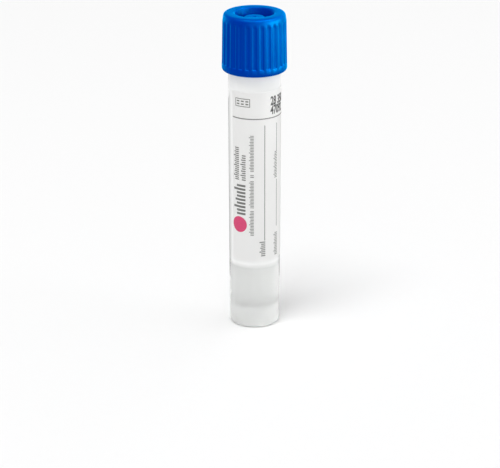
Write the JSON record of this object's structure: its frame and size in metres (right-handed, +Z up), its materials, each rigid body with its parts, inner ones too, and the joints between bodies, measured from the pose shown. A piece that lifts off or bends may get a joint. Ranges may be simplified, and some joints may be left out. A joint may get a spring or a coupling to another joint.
{
  "type": "specimen swab tube",
  "caption": "Self-standing screw-cap specimen tube with a ribbed blue cap, a wrap label, a conical inside bottom and a small fill of liquid medium.",
  "frame": {"origin": "centre of the foot ring, in the plane that the tube stands on", "axes": "+Z up along the tube to the cap; -Y is the side the label is read from"},
  "size_m": [0.016, 0.016, 0.08],
  "materials": {
    "tube_plastic": "translucent, satin",
    "cap_plastic": "moulded gloss",
    "label_film": "coated, printed",
    "medium": "clear liquid"
  },
  "bodies": {
    "tube_body": {"tube": "tube_plastic", "label": "label_film", "transport_medium": "medium"},
    "cap_body": {"screw_cap": "cap_plastic"}
  },
  "joints": [
    {"name": "cap_lift", "type": "slide", "parent": "tube_body", "child": "cap_body", "axis": [0, 0, 1], "range_m": [0, 0.03]}
  ]
}
